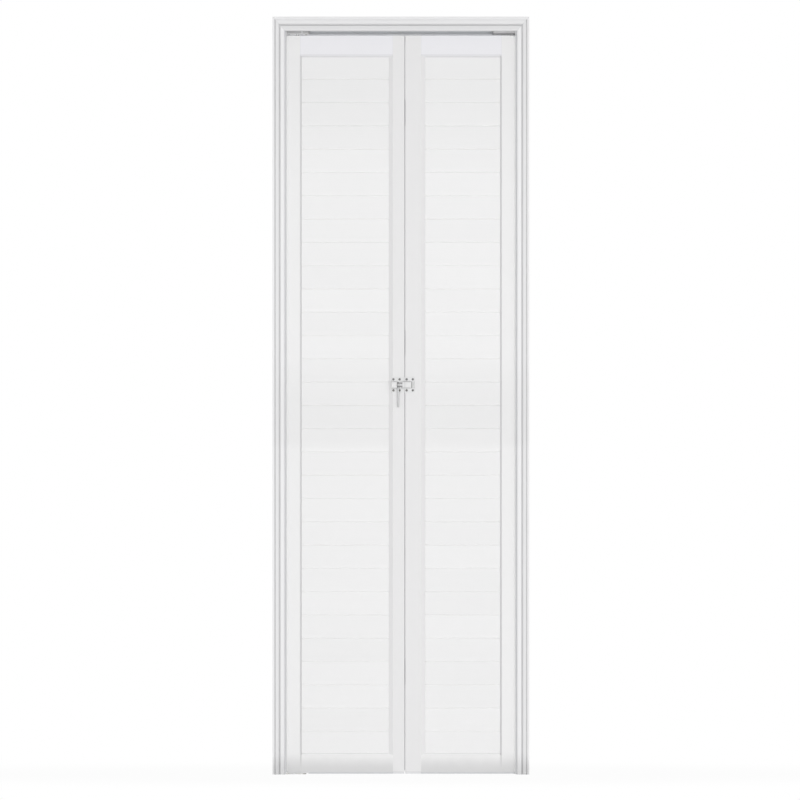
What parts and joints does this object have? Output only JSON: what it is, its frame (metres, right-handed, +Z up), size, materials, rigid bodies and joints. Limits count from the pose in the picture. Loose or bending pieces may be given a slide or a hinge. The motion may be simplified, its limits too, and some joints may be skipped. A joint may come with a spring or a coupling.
{
  "type": "bifold closet door",
  "caption": "Framed bifold door with plank panels that folds towards the front on pivots and a track wheel, with a slide bolt across the fold.",
  "frame": {"origin": "on the floor, in the middle of the frame's width and depth", "axes": "+Z up, +X to the right seen from the front, front of the door towards -Y"},
  "size_m": [0.711, 0.1, 2.1],
  "materials": {
    "white_coat": "white powder coat on extruded aluminium, satin",
    "leaf_coat": "white powder coat on extruded aluminium, satin",
    "plank_white": "white extruded vinyl plank, low sheen",
    "grey_gasket": "pale grey glazing gasket",
    "seal_rubber": "pale soft seal",
    "white_nylon": "white moulded nylon",
    "black_nylon": "black moulded nylon",
    "wheel_nylon": "natural nylon wheel",
    "mill_aluminium": "anodised aluminium channel",
    "cast_alloy": "cast corner block",
    "zinc_steel": "zinc-plated pressed steel",
    "zinc_screw": "zinc-plated screw",
    "dark_screw": "dark screw with a shadowed recess",
    "pin_steel": "turned steel",
    "hinge_coat": "white-coated pressed steel",
    "bolt_coat": "white-coated die casting",
    "bolt_chrome": "satin chrome bolt",
    "handle_metal": "satin grey drop handle"
  },
  "bodies": {
    "frame": {"frame_head": "white_coat", "frame_jamb_left": "white_coat", "frame_jamb_right": "white_coat", "jamb_seals": "seal_rubber", "frame_corner_keys": "cast_alloy", "head_fascia": "mill_aluminium", "fascia_screws": "zinc_screw", "top_track": "mill_aluminium", "track_screws": "zinc_screw", "pivot_bracket_top": "black_nylon", "pivot_bracket_top_screws": "zinc_screw", "track_end_stop": "black_nylon", "end_stop_screws": "zinc_screw", "pivot_bracket_bottom": "zinc_steel", "pivot_bracket_bottom_screws": "zinc_screw"},
    "left_leaf": {"left_pivot_stile": "leaf_coat", "left_fold_stile": "leaf_coat", "left_top_rail": "leaf_coat", "left_bottom_rail": "leaf_coat", "left_planks": "plank_white", "left_panel_gasket": "grey_gasket", "left_rail_keys": "cast_alloy", "left_stile_plugs": "white_nylon", "left_sweep_seal": "seal_rubber", "fold_seal": "seal_rubber", "left_hinge_leaves": "hinge_coat", "hinge_pins": "pin_steel", "left_hinge_screws": "zinc_screw", "bottom_pivot_pin": "pin_steel", "top_pivot_spring": "pin_steel", "bolt_housing": "bolt_coat", "bolt_housing_screws": "dark_screw"},
    "top_pivot": {"top_pivot_pin": "pin_steel"},
    "bolt": {"bolt_rod": "bolt_chrome", "bolt_tail": "bolt_chrome"},
    "handle": {"bolt_handle": "handle_metal"},
    "right_leaf": {"right_fold_stile": "leaf_coat", "right_guide_stile": "leaf_coat", "right_top_rail": "leaf_coat", "right_bottom_rail": "leaf_coat", "right_planks": "plank_white", "right_panel_gasket": "grey_gasket", "right_rail_keys": "cast_alloy", "right_stile_plugs": "white_nylon", "right_sweep_seal": "seal_rubber", "right_hinge_leaves": "hinge_coat", "right_hinge_screws": "zinc_screw", "guide_spring": "pin_steel", "bolt_keeper": "bolt_coat", "bolt_keeper_screws": "dark_screw"},
    "guide": {"guide_pin": "pin_steel", "guide_wheel_clip": "pin_steel"},
    "wheel": {"guide_wheel": "wheel_nylon"}
  },
  "joints": [
    {"name": "leaf_pivot", "type": "hinge", "parent": "frame", "child": "left_leaf", "pos_m": [-0.2864, 0, 1.0273], "axis": [0, 0, -1], "range_deg": [0, 85]},
    {"name": "leaf_fold", "type": "hinge", "parent": "left_leaf", "child": "right_leaf", "pos_m": [0.0109, 0.018, 1.0273], "axis": [0, 0, 1], "range_deg": [0, 170]},
    {"name": "pivot_pin_plunge", "type": "slide", "parent": "left_leaf", "child": "top_pivot", "axis": [0, 0, -1], "range_m": [0, 0.018], "stiffness_N_per_m": 300, "springref_m": -0.01, "deforming": ["top_pivot_spring"]},
    {"name": "guide_pin_plunge", "type": "slide", "parent": "right_leaf", "child": "guide", "axis": [0, 0, -1], "range_m": [0, 0.015], "stiffness_N_per_m": 300, "springref_m": -0.01, "deforming": ["guide_spring"]},
    {"name": "guide_wheel_spin", "type": "hinge", "parent": "guide", "child": "wheel", "pos_m": [0.3082, 0, 2.073], "axis": [0, 0, 1], "continuous": true},
    {"name": "bolt_slide", "type": "slide", "parent": "left_leaf", "child": "bolt", "axis": [1, 0, 0], "range_m": [0, 0.009]},
    {"name": "handle_swing", "type": "hinge", "parent": "bolt", "child": "handle", "pos_m": [-0.0078, -0.024, 1.08], "axis": [-1, 0, 0], "range_deg": [0, 100]}
  ],
  "couplings": [
    {"joint": "leaf_fold", "follows": "leaf_pivot", "ratio": 2}
  ]
}
